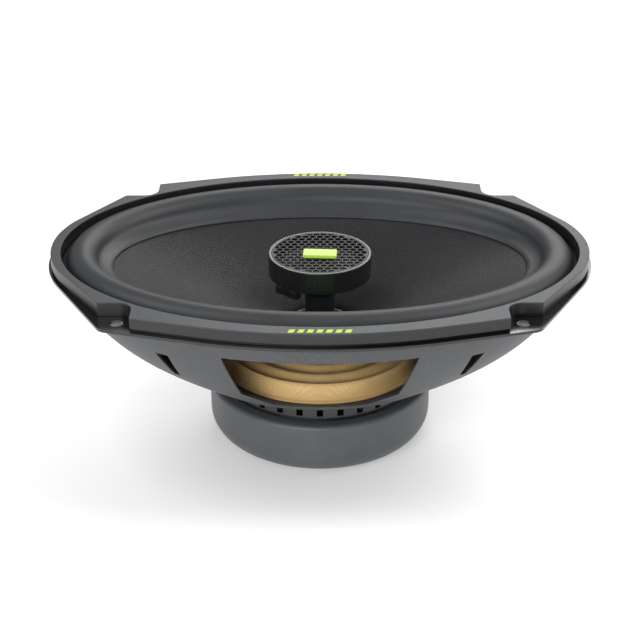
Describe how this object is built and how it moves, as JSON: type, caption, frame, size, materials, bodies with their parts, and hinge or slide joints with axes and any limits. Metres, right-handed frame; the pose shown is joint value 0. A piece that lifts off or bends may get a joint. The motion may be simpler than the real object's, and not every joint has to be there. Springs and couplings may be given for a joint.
{
  "type": "coaxial car speaker",
  "caption": "Oval two-way coaxial car loudspeaker with pressed basket, woven cone, rubber surround, post-mounted dome tweeter, spider and booted magnet; cone and dome travel.",
  "frame": {"origin": "centre of the four mounting holes, on the underside of the basket flange", "axes": "+Z out of the front of the speaker, +X along the long axis, +Y across it towards the terminals"},
  "size_m": [0.235, 0.1696, 0.0886],
  "materials": {
    "basket": "satin sandy paint, glossy on the flange",
    "trim_ring": "satin",
    "surround": "satin",
    "cone": "woven, semi-gloss",
    "voice_coil_former": "plain",
    "voice_coil": "enamelled winding",
    "spider": "resin-stiffened cloth",
    "steel": "zinc plated",
    "ferrite": "ground",
    "boot": "satin",
    "board": "fibre board",
    "terminal": "plated",
    "capacitor": "sleeved can",
    "tinsel": "braided copper",
    "lead": "insulated wire",
    "post": "moulded",
    "tweeter": "gloss",
    "grille": "satin black",
    "badge": "gloss",
    "dome": "coated silk",
    "neodymium": "nickel plated"
  },
  "bodies": {
    "frame": {"basket": "basket", "trim_ring": "trim_ring", "surround": "surround", "spider": "spider", "top_plate": "steel", "ferrite_magnet": "ferrite", "yoke": "steel", "magnet_boot": "boot", "basket_rivets": "steel", "terminal_board": "board", "positive_terminal": "terminal", "negative_terminal": "terminal", "terminal_rivets": "terminal", "tweeter_capacitor": "capacitor", "positive_tinsel_lead": "tinsel", "negative_tinsel_lead": "tinsel", "tweeter_leads": "lead", "tweeter_post": "post", "post_nut": "steel", "tweeter_base": "tweeter", "tweeter_housing": "tweeter", "tweeter_grille": "grille", "tweeter_badge": "badge", "tweeter_suspension": "dome", "tweeter_carrier": "post", "tweeter_yoke": "steel", "tweeter_magnet": "neodymium", "tweeter_plate": "steel"},
    "cone_assembly": {"cone": "cone", "voice_coil_former": "voice_coil_former", "voice_coil": "voice_coil"},
    "tweeter_diaphragm": {"tweeter_dome": "dome", "tweeter_coil": "voice_coil"}
  },
  "joints": [
    {"name": "cone_travel", "type": "slide", "parent": "frame", "child": "cone_assembly", "axis": [0, 0, 1], "range_m": [-0.0045, 0.0045], "stiffness_N_per_m": 2000, "deforming": ["surround", "spider", "positive_tinsel_lead", "negative_tinsel_lead"]},
    {"name": "dome_travel", "type": "slide", "parent": "frame", "child": "tweeter_diaphragm", "axis": [0, 0, 1], "range_m": [-0.0003, 0.0003], "stiffness_N_per_m": 3000, "deforming": ["tweeter_suspension"]}
  ]
}
